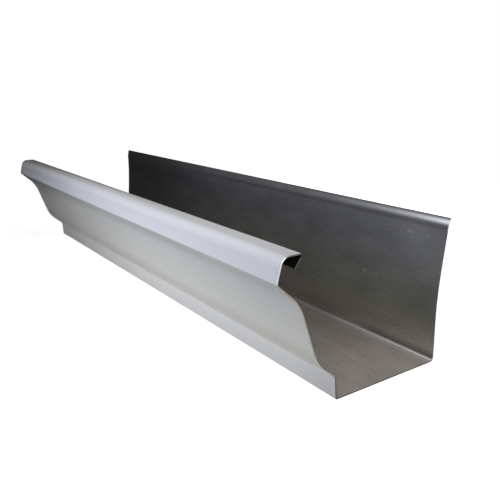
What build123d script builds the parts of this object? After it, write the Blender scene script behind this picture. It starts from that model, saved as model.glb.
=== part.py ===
from build123d import *
from math import radians, tan
import os

# Eaves gutter section with an ogee front, roll formed from one strip of painted sheet.
# X runs along the gutter, +Y points to the back wall and +Z is up.
# It stands on its flat bottom, with the origin under the middle of its outline.
# Section sizes are in millimetres over the painted outside, between the sharp corners
# of the bends. Slopes are degrees from level, leans are degrees from upright.

# Strip
length = 457.2
sheet_thickness = 0.7

# Flat bottom and the tight bends along its two edges
bottom_width = 79.4
bottom_front_radius = 1.6
bottom_back_radius = 2.4

# Back wall, its top edge kicked outwards to stiffen it
back_height = 88.4
back_lean = 3.9
kick_height = 6.0
kick_lean = 14.4
kick_radius = 6.0

# Upright bead at the foot of the front, leaning a little forwards
bead_height = 13.2
bead_lean = 3.0
bead_radius = 2.5

# Ogee front: a belly above the bead, a steep web, and a cove under the ledge of the lip
belly_slope = 40.5
belly_run = 16.8
belly_radius = 25.5
ledge_slope = 42.5
ledge_run = 19.3
cove_radius = 29.0

# Front lip, rounded over to a level top, then folded down to make the hook that hangers
# clip into
lip_overhang = 39.7
lip_height = 86.9
lip_face_height = 13.5
lip_face_lean = 15.5
lip_foot_radius = 2.5
lip_front_radius = 5.4
lip_top_width = 13.4
lip_back_radius = 1.3
lip_return_run = 9.3
lip_return_lean = 36.4


def run(distance, heading):
    """A straight step in the section, with its heading in degrees from +Y towards +Z."""
    return Vector(distance, 0).rotate(Axis.Z, heading)


def rise(height, lean):
    """A step that climbs by a height while it leans from upright towards the back."""
    return Vector(height * tan(radians(lean)), height)


# Sharp corners of the section, measured from the front corner of the bottom
bead_foot = Vector(0, 0)
bead_top = bead_foot + rise(bead_height, -bead_lean)
belly = bead_top + run(belly_run, 180 - belly_slope)

lip_foot = Vector(-lip_overhang, lip_height - lip_face_height)
cove = lip_foot + run(ledge_run, -ledge_slope)
lip_front = lip_foot + rise(lip_face_height, lip_face_lean)
lip_back = lip_front + Vector(lip_top_width, 0)
lip_edge = lip_back + run(lip_return_run, -90 - lip_return_lean)

back_foot = bead_foot + Vector(bottom_width, 0)
kick_foot = back_foot + rise(back_height - kick_height, back_lean)
back_edge = kick_foot + rise(kick_height, kick_lean)

# Painted outside of the strip, from the raw edge of the lip to the raw edge of the back
bends = [
    (lip_back, lip_back_radius),
    (lip_front, lip_front_radius),
    (lip_foot, lip_foot_radius),
    (cove, cove_radius),
    (belly, belly_radius),
    (bead_top, bead_radius),
    (bead_foot, bottom_front_radius),
    (back_foot, bottom_back_radius),
    (kick_foot, kick_radius),
]
outside = FilletPolyline(
    [lip_edge, *[corner for corner, radius in bends], back_edge],
    radius=[radius for corner, radius in bends],
)

# The strip keeps one thickness round every bend, and its ends are sawn square
strip = make_face(offset(outside, amount=sheet_thickness, side=Side.LEFT, closed=True))
gutter_section = extrude(Plane.YZ * strip, amount=length / 2, both=True)

# The origin comes under the middle of the outline, at floor level
outline = gutter_section.bounding_box()
gutter_section = Pos(0, -outline.center().Y, -outline.min.Z) * gutter_section

os.makedirs("parts", exist_ok=True)
export_step(gutter_section, "parts/gutter_section.step")
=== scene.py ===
from math import ceil, copysign, cos, pi, radians, sin, tan

import bmesh
import bpy
from mathutils import Matrix, Vector


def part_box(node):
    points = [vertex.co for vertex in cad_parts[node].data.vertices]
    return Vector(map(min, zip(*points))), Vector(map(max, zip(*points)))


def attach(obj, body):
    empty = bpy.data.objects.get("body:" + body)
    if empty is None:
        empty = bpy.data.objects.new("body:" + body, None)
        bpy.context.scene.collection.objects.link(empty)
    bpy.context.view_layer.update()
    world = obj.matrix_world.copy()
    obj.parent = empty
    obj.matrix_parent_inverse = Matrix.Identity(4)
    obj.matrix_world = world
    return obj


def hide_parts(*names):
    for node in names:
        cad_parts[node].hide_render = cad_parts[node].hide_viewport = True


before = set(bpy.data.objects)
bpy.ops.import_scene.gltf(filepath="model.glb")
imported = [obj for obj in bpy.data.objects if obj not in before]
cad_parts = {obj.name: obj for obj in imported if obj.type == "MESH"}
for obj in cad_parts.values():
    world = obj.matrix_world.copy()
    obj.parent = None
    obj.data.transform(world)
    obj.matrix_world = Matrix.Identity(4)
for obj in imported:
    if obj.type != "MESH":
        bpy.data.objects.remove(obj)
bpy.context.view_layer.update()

MM = 0.001
NODE = "gutter_section"
GIRTH = "from_back_edge"
low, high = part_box(NODE)

# Section of the strip, in millimetres over the painted side and between the sharp corners of its bends.
# Slopes are degrees from level and leans are degrees from upright.
SHEET = 0.7
BOTTOM_WIDTH = 79.4
BOTTOM_FRONT_RADIUS = 1.6
BOTTOM_BACK_RADIUS = 2.4
BACK_HEIGHT = 88.4
BACK_LEAN = 3.9
KICK_HEIGHT = 6.0
KICK_LEAN = 14.4
KICK_RADIUS = 6.0
BEAD_HEIGHT = 13.2
BEAD_LEAN = 3.0
BEAD_RADIUS = 2.5
BELLY_SLOPE = 40.5
BELLY_RUN = 16.8
BELLY_RADIUS = 25.5
LEDGE_SLOPE = 42.5
LEDGE_RUN = 19.3
COVE_RADIUS = 29.0
LIP_OVERHANG = 39.7
LIP_HEIGHT = 86.9
LIP_FACE_HEIGHT = 13.5
LIP_FACE_LEAN = 15.5
LIP_FOOT_RADIUS = 2.5
LIP_FRONT_RADIUS = 5.4
LIP_TOP_WIDTH = 13.4
LIP_BACK_RADIUS = 1.3
LIP_RETURN_RUN = 9.3
LIP_RETURN_LEAN = 36.4

# Fineness of the mesh: degrees to a step of a bend, millimetres to a patch, and degrees at a sharp edge
BEND_STEP = 5.0
PATCH = 9.0
SHARP_ANGLE = 40.0

# The back wall has sprung at its sawn ends, inwards at the near end and outwards at the far one: how far,
# how high up it is most, and how far along the gutter it reaches, in millimetres
NEAR_SPRING = 2.5
NEAR_SPRING_HEIGHT = 42.0
NEAR_SPRING_REACH = 170.0
FAR_SPRING = 1.2
FAR_SPRING_HEIGHT = 62.0
FAR_SPRING_REACH = 200.0

# How steeply the bow of the wall rises to its peak, and how steeply it dies out along the gutter
SPRING_RISE = 1.5
SPRING_FADE = 2

# Stage: how far the floor reaches and the distances over which it turns white, in metres, how white it is
# before and after, and the strength of the light from all round
FLOOR_SIZE = 6.0
SHADOW_REACH = (0.25, 0.5)
FLOOR_WHITENESS = (0.9, 1.0)
AMBIENT = 0.015

# Softboxes, all turned to one point: name, place, width and height in metres, and power in watts
AIM = (0.05, 0.0, 0.05)
LAMPS = [
    ("low_front_softbox", (0.065, -0.31, 0.07), (0.16, 0.10), 0.43),
    ("near_end_softbox", (0.40, -0.22, 0.12), (0.20, 0.20), 0.215),
    ("near_overhead_softbox", (0.20, -0.04, 0.25), (0.15, 0.15), 0.205),
    ("far_overhead_softbox", (-0.03, -0.04, 0.25), (0.15, 0.15), 0.12),
    ("near_back_softbox", (0.35, 0.08, 0.13), (0.20, 0.20), 0.055),
    ("back_softbox", (-0.05, 0.60, 0.10), (0.40, 0.16), 1.5),
]

# Camera, fitted to the corners of both sawn ends in the 500 pixel photograph.
# Its place is in millimetres from the front corner of the bottom at the near end.
IMAGE_SIDE = 500
FOCAL_PIXELS = 602.5
CAMERA_PLACE = (214.6, -200.2, 167.3)
CAMERA_TURN = 55.77
CAMERA_DIP = 15.86
CAMERA_ROLL = -0.87
SENSOR = 36.0
NEAREST_VIEW = 0.01


def run(distance, heading):
    """A straight step in the section, with its heading in degrees from +Y towards +Z."""
    return Vector((distance * cos(radians(heading)), distance * sin(radians(heading))))


def rise(height, lean):
    """A step that climbs by a height while it leans from upright towards the back."""
    return Vector((height * tan(radians(lean)), height))


# Sharp corners of the painted side, measured from the front corner of the bottom
bead_foot = Vector((0, 0))
bead_top = bead_foot + rise(BEAD_HEIGHT, -BEAD_LEAN)
belly = bead_top + run(BELLY_RUN, 180 - BELLY_SLOPE)
lip_foot = Vector((-LIP_OVERHANG, LIP_HEIGHT - LIP_FACE_HEIGHT))
cove = lip_foot + run(LEDGE_RUN, -LEDGE_SLOPE)
lip_front = lip_foot + rise(LIP_FACE_HEIGHT, LIP_FACE_LEAN)
lip_back = lip_front + Vector((LIP_TOP_WIDTH, 0))
lip_edge = lip_back + run(LIP_RETURN_RUN, -90 - LIP_RETURN_LEAN)
back_foot = bead_foot + Vector((BOTTOM_WIDTH, 0))
kick_foot = back_foot + rise(BACK_HEIGHT - KICK_HEIGHT, BACK_LEAN)
back_edge = kick_foot + rise(KICK_HEIGHT, KICK_LEAN)

# Bends in order from the lip to the back, each with its corner and its radius
BENDS = [
    (lip_back, LIP_BACK_RADIUS),
    (lip_front, LIP_FRONT_RADIUS),
    (lip_foot, LIP_FOOT_RADIUS),
    (cove, COVE_RADIUS),
    (belly, BELLY_RADIUS),
    (bead_top, BEAD_RADIUS),
    (bead_foot, BOTTOM_FRONT_RADIUS),
    (back_foot, BOTTOM_BACK_RADIUS),
    (kick_foot, KICK_RADIUS),
]


def bend_distances():
    """Distances across the flat strip from the back edge to the middle of each bend, in millimetres."""
    bends = BENDS[::-1]
    corners = [back_edge, *[corner for corner, radius in bends], lip_edge]
    walked = 0.0
    for before, (corner, radius), after in zip(corners, bends, corners[2:]):
        turn = abs((corner - before).angle_signed(after - corner))
        saved = radius * (tan(turn / 2) - turn / 2)
        walked += (corner - before).length - saved
        yield walked
        walked -= saved


(
    KICK_BEND,
    BACK_BEND,
    FRONT_BEND,
    BEAD_BEND,
    BELLY_BEND,
    COVE_BEND,
    LIP_FOOT,
    LIP_FRONT,
    LIP_BACK,
) = bend_distances()

# Colours of the sawn edge, lighter or darker, from one distance across the strip to another
# The light runs on the kick and round the face and front bend of the lip are painted highlights
EDGE_RUNS = [
    (-5.0, 1.0, "#5C5D60"),
    (1.5, 5.0, "#C8C8CC"),
    (8.0, BACK_BEND - 2, "#4B4B4A"),
    (BACK_BEND, BEAD_BEND + 1, "#3E3A36"),
    (COVE_BEND + 4, LIP_FOOT, "#878276"),
    (LIP_FOOT, LIP_FRONT, "#CFCFD6"),
    (LIP_FRONT - 2, LIP_FRONT + 1, "#FCFCFF"),
    (LIP_FRONT + 3, LIP_BACK - 2, "#5E5E5C"),
    (LIP_BACK - 2, LIP_BACK + 3, "#2C2C28"),
    (LIP_BACK + 3, LIP_BACK + 20, "#4C4D42"),
]

# Painted shade on the inside, along the raw top edge, in the crease under the kick and twice in the corner
# of the
# bottom: its middle across the strip and half width, its reach from the near end, and its depth
CREASE_SHADE = [
    (0.0, 1.2, 420.0, 0.5),
    (KICK_BEND + 0.2, 2.0, 420.0, 0.5),
    (BACK_BEND - 3.2, 3.8, 80.0, 0.5),
    (BACK_BEND - 2.0, 1.4, 70.0, 0.55),
]

# Painted glints, laid as metal rubbed bare, on the kick, twice at the back bend and faintly high on the
# wall: its middle across the strip and half width, its reach from the near end, how steeply it dies out on
# the way, and its depth
RUBBED_GLINTS = [
    (2.7, 2.8, 340.0, 5.0, 1.0),
    (BACK_BEND + 0.7, 1.2, 400.0, 5.0, 0.95),
    (BACK_BEND + 2.8, 3.0, 300.0, 3.5, 0.5),
    (22.0, 30.0, 160.0, 2.0, 0.12),
]

# Scuffs on the back wall, three small ones, and a pale patch of painted light: place along the strip from
# its middle and
# across it from the back edge, half length, half width, turn in degrees, and depth
SCUFFS = [
    (201.6, 12.9, 5.4, 1.8, 12.0, 0.36),
    (215.0, 12.9, 2.2, 2.0, 0.0, 0.33),
    (167.2, 46.5, 2.4, 2.2, 0.0, 0.3),
    (206.0, 17.0, 34.0, 19.0, 0.0, 0.17),
]

# Mask of a layer of colour that isn't held to a stretch of the strip
EVERYWHERE = 1.0

# The section's own origin in the frame: the back edge of the strip is the back of the CAD box
FRONT_CORNER_Y = high.y - back_edge.x * MM


def in_frame(point, x=0.0):
    """A section point in millimetres as a place in the frame, in metres."""
    return Vector((x, FRONT_CORNER_Y + point.x * MM, point.y * MM))


# Mesh of the strip

def extend(bm, tip, place):
    """Draws a straight run from the tip of the chain and gives its new tip."""
    drawn = bmesh.ops.extrude_vert_indiv(bm, verts=[tip])["verts"]
    bmesh.ops.translate(bm, verts=drawn, vec=place - tip.co)
    return drawn[0]


def draw_section(bm):
    """The painted side as a chain of edges: straight runs, with each bend spun about its own centre."""
    corners = [lip_edge, *[corner for corner, radius in BENDS], back_edge]
    tip = bm.verts.new(in_frame(lip_edge, low.x))
    for before, (corner, radius), after in zip(corners, BENDS, corners[2:]):
        heading = (corner - before).normalized()
        turn = -heading.angle_signed(after - corner)
        bend_start = corner - heading * radius * tan(abs(turn) / 2)
        inward = Vector((-heading.y, heading.x)) * copysign(radius, turn)
        tip = extend(bm, tip, in_frame(bend_start, low.x))
        spun = bmesh.ops.spin(
            bm,
            geom=[tip],
            cent=in_frame(bend_start + inward, low.x),
            axis=(1, 0, 0),
            angle=turn,
            steps=ceil(abs(turn) / radians(BEND_STEP)),
        )
        tip = spun["geom_last"][0]
    extend(bm, tip, in_frame(back_edge, low.x))


def cut_long_runs(bm, edges):
    """Divides long edges into patches short enough to follow a sprung wall."""
    for edge in list(edges):
        cuts = ceil(edge.calc_length() / (PATCH * MM)) - 1
        if cuts > 0:
            bmesh.ops.subdivide_edges(bm, edges=[edge], cuts=cuts)


def mark_girth(bm):
    """Marks each point of the chain with its distance across the strip from the back edge, in metres."""
    girth = bm.verts.layers.float.new(GIRTH)
    point = max(bm.verts, key=lambda vert: vert.co.y)
    walked = 0.0
    edge = None
    while True:
        point[girth] = walked
        onward = [link for link in point.link_edges if link is not edge]
        if not onward:
            break
        edge = onward[0]
        walked += edge.calc_length()
        point = edge.other_vert(point)


def draw_out(bm):
    """Draws the section out along the gutter, as a sheet whose normals are on the painted side."""
    length = high.x - low.x
    drawn = bmesh.ops.extrude_edge_only(bm, edges=bm.edges[:])["geom"]
    other_end = [part for part in drawn if isinstance(part, bmesh.types.BMVert)]
    bmesh.ops.translate(bm, verts=other_end, vec=(length, 0, 0))
    lengthwise = [edge for edge in bm.edges if abs(edge.verts[0].co.x - edge.verts[1].co.x) > length / 2]
    cuts = ceil(length / (PATCH * MM)) - 1
    bmesh.ops.subdivide_edges(bm, edges=lengthwise, cuts=cuts, use_grid_fill=True)
    bm.normal_update()
    lowest = min(bm.faces, key=lambda face: face.calc_center_median().z)
    if lowest.normal.z > 0:
        bmesh.ops.reverse_faces(bm, faces=bm.faces[:])


def swell(height, peak):
    """A smooth bow that is zero at the foot and the top of the back wall and one at its peak."""
    share = height / peak if height < peak else (BACK_HEIGHT - height) / (BACK_HEIGHT - peak)
    return sin(pi / 2 * min(max(share, 0.0), 1.0)) ** SPRING_RISE


def spring_back_wall(bm):
    """Bows the back wall a little at its sawn ends, as thin sheet does once it is cut from its length."""
    wall_front = in_frame(back_foot).y - BOTTOM_BACK_RADIUS * MM
    for vert in bm.verts:
        if vert.co.y < wall_front:
            continue
        height = vert.co.z / MM
        near = max(0.0, 1 - (high.x - vert.co.x) / (NEAR_SPRING_REACH * MM))
        far = max(0.0, 1 - (vert.co.x - low.x) / (FAR_SPRING_REACH * MM))
        inwards = NEAR_SPRING * near ** SPRING_FADE * swell(height, NEAR_SPRING_HEIGHT)
        outwards = FAR_SPRING * far ** SPRING_FADE * swell(height, FAR_SPRING_HEIGHT)
        vert.co.y += (outwards - inwards) * MM


def thicken(bm):
    """Gives the strip its thickness. Material 0 is the painted side, 1 the inside and 2 the raw edges."""
    painted = set(bm.verts)
    bmesh.ops.solidify(bm, geom=bm.faces[:], thickness=SHEET * MM)
    for face in bm.faces:
        on_painted_side = sum(vert in painted for vert in face.verts)
        face.material_index = {len(face.verts): 0, 0: 1}.get(on_painted_side, 2)
        face.smooth = True


def folded_strip(name, materials):
    """The whole gutter section as one closed mesh."""
    bm = bmesh.new()
    draw_section(bm)
    cut_long_runs(bm, bm.edges)
    mark_girth(bm)
    draw_out(bm)
    spring_back_wall(bm)
    thicken(bm)
    mesh = bpy.data.meshes.new(name)
    bm.to_mesh(mesh)
    bm.free()
    mesh.set_sharp_from_angle(angle=radians(SHARP_ANGLE))
    for material in materials:
        mesh.materials.append(material)
    piece = bpy.data.objects.new(name, mesh)
    bpy.context.scene.collection.objects.link(piece)
    return piece


# Materials

def linear(code):
    """Linear RGBA of an sRGB hex colour."""
    channels = [int(code[i:i + 2], 16) / 255 for i in (1, 3, 5)]
    return [c / 12.92 if c <= 0.04045 else ((c + 0.055) / 1.055) ** 2.4 for c in channels] + [1.0]


def add(tree, kind, inputs=None, output=None, **settings):
    """Adds a shader node with its settings, sets or links its inputs and gives one of its outputs."""
    node = tree.nodes.new("ShaderNode" + kind)
    for name, value in settings.items():
        setattr(node, name, value)
    for name, value in (inputs or {}).items():
        by_name = [socket for socket in node.inputs if socket.enabled and socket.name == name]
        socket = by_name[0] if by_name else node.inputs[name]
        if isinstance(value, bpy.types.NodeSocket):
            tree.links.new(value, socket)
        else:
            socket.default_value = value
    outputs = [socket for socket in node.outputs if socket.enabled and output in (None, socket.name)]
    return outputs[0] if outputs else None


def new_material(name):
    """A material with an empty node tree."""
    material = bpy.data.materials.new(name)
    material.use_nodes = True
    material.node_tree.nodes.clear()
    return material, material.node_tree


def along_strip(tree):
    """Place along the strip from the middle of its length, in metres."""
    place = add(tree, "TexCoord", output="Object")
    return add(tree, "SeparateXYZ", {"Vector": place}, "X")


def from_near_end(tree):
    """Distance along the strip from its near end, in metres."""
    return add(tree, "Math", {0: high.x, 1: along_strip(tree)}, operation="SUBTRACT")


def from_back_edge(tree):
    """Distance across the flat strip from its back edge, in metres."""
    return add(tree, "Attribute", output="Fac", attribute_name=GIRTH)


def flat_place(tree):
    """Place on the strip as it was before it was folded, flat, with the back edge as its X axis."""
    return add(tree, "CombineXYZ", {"X": along_strip(tree), "Y": from_back_edge(tree)})


def strip_pattern(tree, along, across, detail=2.0):
    """Noise laid on the flat strip, with the usual length and width of its patches in millimetres."""
    patches = (1 / (along * MM), 1 / (across * MM), 1.0)
    scaled = add(tree, "VectorMath", {0: flat_place(tree), 1: patches}, operation="MULTIPLY")
    noise = {"Vector": scaled, "Scale": 1.0, "Detail": detail, "Roughness": 0.55}
    return add(tree, "TexNoise", noise, "Fac")


def fade(tree, value, start, end):
    """A smooth step from 0 to 1 in a distance, between a start and an end in millimetres."""
    ends = {"Value": value, "From Min": start * MM, "From Max": end * MM}
    return add(tree, "MapRange", ends, interpolation_type="SMOOTHSTEP")


def stripe(tree, value, middle, half_width):
    """A soft stripe round one distance, with its middle and half width in millimetres."""
    offset = add(tree, "Math", {0: value, 1: middle * MM}, operation="SUBTRACT")
    distance = add(tree, "Math", {0: offset}, operation="ABSOLUTE")
    return fade(tree, distance, half_width, 0.0)


def band(tree, value, start, end, soft):
    """A stretch between two distances, with its start, end and softness in millimetres."""
    rising = fade(tree, value, start - soft, start + soft)
    falling = fade(tree, value, end + soft, end - soft)
    return add(tree, "Math", {0: rising, 1: falling}, operation="MULTIPLY")


def under_lip(tree, girth, start, end):
    """Painted shade that thickens from a start to an end in millimetres, and stops at the foot of the lip.
    """
    thickening = fade(tree, girth, start, end)
    below = fade(tree, girth, LIP_FOOT + 0.6, LIP_FOOT - 0.6)
    return add(tree, "Math", {0: thickening, 1: below}, operation="MULTIPLY")


def lay(tree, colour, layers):
    """Lays colours over one another in order.

    A layer has a mask across the strip, a mask along it, an sRGB colour, and a depth of up to one.
    """
    for across, along, code, depth in layers:
        mask = add(tree, "Math", {0: across, 1: along}, operation="MULTIPLY")
        share = add(tree, "Math", {0: mask, 1: depth}, operation="MULTIPLY")
        colour = add(tree, "Mix", {"Factor": share, "A": colour, "B": linear(code)}, data_type="RGBA")
    return colour


def toned(tree, colour, pattern, depth):
    """Makes a colour lighter and darker along a pattern."""
    tone = add(tree, "MapRange", {"Value": pattern, "To Min": 1 - depth, "To Max": 1 + depth})
    tones = {"Factor": 1.0, "A": colour, "B": tone}
    return add(tree, "Mix", tones, data_type="RGBA", blend_type="MULTIPLY")


def painted_light_and_shade(tree, colour):
    """Painted light and shade on the paint from the bead up to the hook."""
    from_end = from_near_end(tree)
    girth = from_back_edge(tree)
    bead = band(tree, girth, FRONT_BEND - 20, BEAD_BEND, 0.8)
    belly_foot = band(tree, girth, BEAD_BEND, BEAD_BEND + 10, 2.0)
    belly_curve = stripe(tree, girth, BEAD_BEND + 20, 8.0)
    shade_under_lip = under_lip(tree, girth, BELLY_BEND - 4, LIP_FOOT)
    ledge_shade = under_lip(tree, girth, COVE_BEND - 4, LIP_FOOT - 2)
    cove_shade = under_lip(tree, girth, COVE_BEND - 14, COVE_BEND + 4)
    lip_face = band(tree, girth, LIP_FOOT, LIP_FRONT + 1, 1.5)
    lip_bend = band(tree, girth, LIP_FRONT - 3.5, LIP_FRONT + 2, 2.5)
    lip_brow = band(tree, girth, LIP_FRONT + 1.5, LIP_FRONT + 5, 1.5)
    lip_top = band(tree, girth, LIP_FRONT + 5, LIP_BACK + 20, 3.0)
    lip_flat = band(tree, girth, LIP_FRONT + 6.5, LIP_BACK - 2, 2.0)
    thin_back_shade = stripe(tree, girth, LIP_BACK - 0.8, 2.3)
    wide_back_shade = stripe(tree, girth, LIP_BACK - 1.4, 3.8)
    layers = [
        # Painted light: the bead and the face and front bend of the lip lighter and cooler, and the top of
        # the lip greyer
        (bead, EVERYWHERE, "#D9DADD", 1.0),
        (bead, fade(tree, from_end, 60, 420), "#F0F1F3", 0.8),
        (lip_face, EVERYWHERE, "#D2D5E1", 1.0),
        (lip_bend, EVERYWHERE, "#DEE0EA", 1.0),
        (lip_top, EVERYWHERE, "#D0CFD3", 1.0),
        # Painted shade along the back of the lip and on its top far off, and painted highlights on its
        # front bend and brow
        (thin_back_shade, fade(tree, from_end, 20, 70), "#807F80", 0.6),
        (wide_back_shade, fade(tree, from_end, 130, 300), "#2A2A2C", 0.75),
        (lip_flat, fade(tree, from_end, 220, 400), "#6A6A6C", 0.25),
        (lip_bend, fade(tree, from_end, 290, 440), "#F4F5FB", 0.7),
        (lip_brow, stripe(tree, from_end, 190, 130), "#ECEDF3", 0.65),
        # Painted light at the foot of the belly, warm painted shade along its curve and at the near end of
        # the bead
        (belly_foot, EVERYWHERE, "#E6E7E6", 0.8),
        (belly_curve, EVERYWHERE, "#B4B6A9", 0.4),
        (bead, fade(tree, from_end, 40, 0), "#B2B4B8", 0.42),
        # Painted shade under the lip, which thins out down the web and is darkest far off
        (shade_under_lip, EVERYWHERE, "#B1B2B5", 0.9),
        (ledge_shade, EVERYWHERE, "#B0B1B3", 0.8),
        (ledge_shade, fade(tree, from_end, 40, 150), "#58595D", 0.2),
        (ledge_shade, fade(tree, from_end, 230, 430), "#58595D", 0.65),
        (cove_shade, fade(tree, from_end, 350, 455), "#333436", 0.45),
    ]
    return lay(tree, colour, layers)


def baked_polyester_paint():
    """Coil paint, rolled on thin and baked: a flat off-white with little gloss and a fine orange peel,
    under painted light and shade.
    """
    material, tree = new_material("baked_polyester_paint_off_white")
    clouds = strip_pattern(tree, 90.0, 35.0, 3.0)
    roll_lines = strip_pattern(tree, 700.0, 3.0)
    peel = strip_pattern(tree, 1.6, 1.2)
    shades = {"Factor": clouds, "A": linear("#C9CACA"), "B": linear("#D3D4D4")}
    colour = add(tree, "Mix", shades, data_type="RGBA")
    colour = painted_light_and_shade(tree, colour)
    colour = toned(tree, colour, roll_lines, 0.05)
    gloss = add(tree, "MapRange", {"Value": clouds, "To Min": 0.74, "To Max": 0.84})
    bump = add(tree, "Bump", {"Height": peel, "Strength": 0.25, "Distance": 0.02 * MM})
    finish = {"Base Color": colour, "Roughness": gloss, "Specular IOR Level": 0.08, "Normal": bump}
    shader = add(tree, "BsdfPrincipled", finish)
    add(tree, "OutputMaterial", {"Surface": shader})
    return material


def dust_and_painted_shade(tree, colour):
    """Dust on the bottom, which thins out up the wall and lightens at the near end as painted light, and
    painted shade far off.
    """
    from_end = from_near_end(tree)
    girth = from_back_edge(tree)
    haze = fade(tree, girth, KICK_BEND + 8, BACK_BEND - 18)
    bottom_dust_and_light = fade(tree, girth, BACK_BEND - 30, BACK_BEND + 8)
    wall_top = fade(tree, girth, 40, 8)
    far_shade = fade(tree, from_end, 180, 420)
    layers = [
        (haze, EVERYWHERE, "#7B7B73", 1.0),
        (bottom_dust_and_light, EVERYWHERE, "#7F7973", 1.0),
        # Dust, lighter towards the near end, where it is partly painted light
        (bottom_dust_and_light, fade(tree, from_end, 110, 0), "#AFA8A1", 1.0),
        # Painted shade darkens the far end, most at the top of the wall
        (EVERYWHERE, far_shade, "#3A3A3A", 0.45),
        (wall_top, far_shade, "#2B2B29", 0.35),
    ]
    return lay(tree, colour, layers)


def shaded_creases(tree, colour):
    """Painted shade in the creases of the inside, darkest in the hook of the lip."""
    from_end = from_near_end(tree)
    girth = from_back_edge(tree)
    layers = []
    for middle, half_width, reach, depth in CREASE_SHADE:
        within = fade(tree, from_end, reach, reach / 2)
        layers.append((stripe(tree, girth, middle, half_width), within, "#454442", depth))
    # Painted shade darkens the inside of the hook of the lip nearly to black
    hook = fade(tree, girth, LIP_FOOT + 4, LIP_FRONT - 2)
    layers.append((hook, EVERYWHERE, "#1E1D1A", 1.0))
    return lay(tree, colour, layers)


def bare_metal_and_glints(tree):
    """Share of bare metal, from none to all: scuffs, and painted glints and a painted pale patch of light
    laid as bare metal.
    """
    from_end = from_near_end(tree)
    girth = from_back_edge(tree)
    flat = flat_place(tree)
    marks = []
    for middle, half_width, reach, steepness, depth in RUBBED_GLINTS:
        nearness = add(tree, "MapRange", {"Value": from_end, "From Min": reach * MM, "From Max": 0.0})
        nearness = add(tree, "Math", {0: nearness, 1: steepness}, operation="POWER")
        glint = stripe(tree, girth, middle, half_width)
        glint = add(tree, "Math", {0: glint, 1: nearness}, operation="MULTIPLY")
        marks.append(add(tree, "Math", {0: glint, 1: depth}, operation="MULTIPLY"))
    for along, across, half_length, half_width, turn, depth in SCUFFS:
        outline = {
            "Vector": flat,
            "Location": (along * MM, across * MM, 0.0),
            "Rotation": (0.0, 0.0, radians(turn)),
            "Scale": (half_length * MM, half_width * MM, 1.0),
        }
        local = add(tree, "Mapping", outline, vector_type="TEXTURE")
        distance = add(tree, "VectorMath", {0: local}, "Value", operation="LENGTH")
        spot = {"Value": distance, "From Min": 1.0, "From Max": 0.0, "To Max": depth}
        marks.append(add(tree, "MapRange", spot))
    bare_and_glint = 0.0
    for mark in marks:
        bare_and_glint = add(tree, "Math", {0: bare_and_glint, 1: mark}, operation="MAXIMUM")
    return bare_and_glint


def grey_wash_coat():
    """Thin grey coat on the inside of the strip: cool high up, dusty brown low down, with painted shade
    and painted glints.
    """
    material, tree = new_material("grey_wash_coat_on_aluminium")
    clouds = strip_pattern(tree, 40.0, 16.0, 4.0)
    streaks = strip_pattern(tree, 500.0, 1.6)
    # The grain of a real coat is finer than this, and is drawn as coarse as it needs to show
    grains = strip_pattern(tree, 2.2, 1.6)
    coat = dust_and_painted_shade(tree, linear("#6B6D72"))
    for pattern, depth in ((clouds, 0.35), (streaks, 0.08), (grains, 0.27)):
        coat = toned(tree, coat, pattern, depth)
    coat = shaded_creases(tree, coat)
    bare_and_glint = bare_metal_and_glints(tree)
    # The colour of bare metal, for scuffs and for painted glints and a painted pale patch of light
    colour = lay(tree, coat, [(bare_and_glint, EVERYWHERE, "#D2D4DB", 1.0)])
    gloss = add(tree, "MapRange", {"Value": bare_and_glint, "To Min": 0.8, "To Max": 0.4})
    bump = add(tree, "Bump", {"Height": grains, "Strength": 0.3, "Distance": 0.03 * MM})
    finish = {
        "Base Color": colour,
        "Metallic": bare_and_glint,
        "Roughness": gloss,
        "Specular IOR Level": 0.04,
        "Normal": bump,
    }
    shader = add(tree, "BsdfPrincipled", finish)
    add(tree, "OutputMaterial", {"Surface": shader})
    return material


def sawn_aluminium():
    """Raw edge left by the saw: grey alloy with cut marks, darker low down and with a painted highlight at
    the lip.
    """
    material, tree = new_material("sawn_aluminium_edge")
    girth = from_back_edge(tree)
    place = add(tree, "TexCoord", output="Object")
    # The marks of a fine saw are closer than this, and are drawn as coarse as they need to show
    saw_marks = add(tree, "TexNoise", {"Vector": place, "Scale": 1 / (0.8 * MM), "Detail": 1.0}, "Fac")
    colour = toned(tree, linear("#97958C"), saw_marks, 0.15)
    layers = []
    # Painted highlights where the edge catches the light, and darker runs elsewhere, along the edge
    for start, end, code in EDGE_RUNS:
        layers.append((band(tree, girth, start, end, 1.0), EVERYWHERE, code, 0.95))
    colour = lay(tree, colour, layers)
    gloss = add(tree, "MapRange", {"Value": saw_marks, "To Min": 0.4, "To Max": 0.55})
    shader = add(tree, "BsdfPrincipled", {"Base Color": colour, "Metallic": 0.9, "Roughness": gloss})
    add(tree, "OutputMaterial", {"Surface": shader})
    return material


gutter = folded_strip("gutter_strip", [baked_polyester_paint(), grey_wash_coat(), sawn_aluminium()])
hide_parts(NODE)
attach(gutter, "root")


# Stage

def seen_directly(tree):
    """One for rays that show the surroundings as a picture: from the camera, in gloss or in glass."""
    camera = add(tree, "LightPath", output="Is Camera Ray")
    glossy = add(tree, "LightPath", output="Is Glossy Ray")
    transmission = add(tree, "LightPath", output="Is Transmission Ray")
    reflected = add(tree, "Math", {0: glossy, 1: transmission}, operation="ADD")
    return add(tree, "Math", {0: camera, 1: reflected}, operation="ADD", use_clamp=True)


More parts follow.
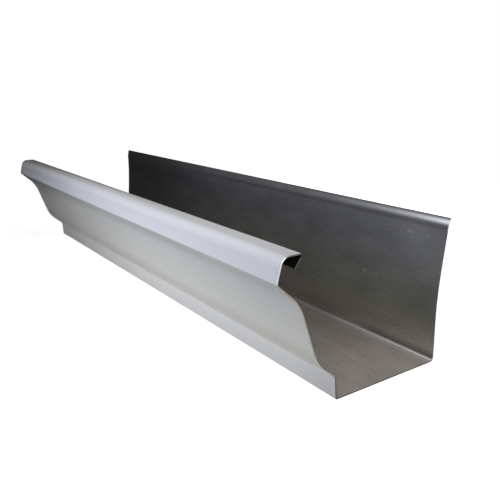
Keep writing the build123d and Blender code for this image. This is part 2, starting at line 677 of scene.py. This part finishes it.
def white_floor():
    """A pale floor that shows as white, apart from the shadow under the gutter."""
    bm = bmesh.new()
    bmesh.ops.create_grid(bm, x_segments=1, y_segments=1, size=FLOOR_SIZE)
    mesh = bpy.data.meshes.new("floor")
    bm.to_mesh(mesh)
    bm.free()
    material, tree = new_material("white_floor")
    paint = add(tree, "BsdfDiffuse", {"Color": linear("#E6E6E6")})
    place = add(tree, "TexCoord", output="Object")
    distance = add(tree, "VectorMath", {0: place}, "Value", operation="LENGTH")
    near, far = SHADOW_REACH
    least, most = FLOOR_WHITENESS
    reach = {"Value": distance, "From Min": near, "From Max": far, "To Min": least, "To Max": most}
    white = add(tree, "MapRange", reach, interpolation_type="SMOOTHSTEP")
    strength = add(tree, "Math", {0: seen_directly(tree), 1: white}, operation="MULTIPLY")
    glow = add(tree, "Emission", {"Color": linear("#FFFFFF"), "Strength": strength})
    both = add(tree, "AddShader", {0: paint, 1: glow})
    add(tree, "OutputMaterial", {"Surface": both})
    mesh.materials.append(material)
    floor = bpy.data.objects.new("floor", mesh)
    bpy.context.scene.collection.objects.link(floor)


def studio_world():
    """White surroundings to look at, which light the gutter only faintly."""
    world = bpy.data.worlds.new("studio")
    world.use_nodes = True
    bpy.context.scene.world = world
    tree = world.node_tree
    tree.nodes.clear()
    strength = add(tree, "MapRange", {"Value": seen_directly(tree), "To Min": AMBIENT, "To Max": 1.0})
    background = add(tree, "Background", {"Color": linear("#FFFFFF"), "Strength": strength})
    add(tree, "OutputWorld", {"Surface": background})


def softbox(name, place, size, power):
    """A white softbox turned to the gutter, with its place and size in metres and its power in watts."""
    light = bpy.data.lights.new(name, "AREA")
    light.shape = "RECTANGLE"
    light.size, light.size_y = size
    light.energy = power
    lamp = bpy.data.objects.new(name, light)
    bpy.context.scene.collection.objects.link(lamp)
    lamp.visible_camera = False
    lamp.location = place
    lamp.rotation_euler = (Vector(AIM) - Vector(place)).to_track_quat("-Z", "Y").to_euler()


def photo_camera():
    """The camera at the photograph's place, looking along its viewing angle."""
    data = bpy.data.cameras.new("camera")
    data.sensor_width = SENSOR
    data.lens = FOCAL_PIXELS / IMAGE_SIDE * SENSOR
    data.clip_start = NEAREST_VIEW
    camera = bpy.data.objects.new("camera", data)
    bpy.context.scene.collection.objects.link(camera)
    x, y, z = CAMERA_PLACE
    camera.matrix_world = (
        Matrix.Translation(in_frame(Vector((y, z)), high.x + x * MM))
        @ Matrix.Rotation(radians(CAMERA_TURN), 4, "Z")
        @ Matrix.Rotation(radians(90 - CAMERA_DIP), 4, "X")
        @ Matrix.Rotation(radians(CAMERA_ROLL), 4, "Z")
    )
    bpy.context.scene.camera = camera


white_floor()
studio_world()
for lamp in LAMPS:
    softbox(*lamp)
photo_camera()
bpy.context.scene.view_settings.view_transform = "Standard"
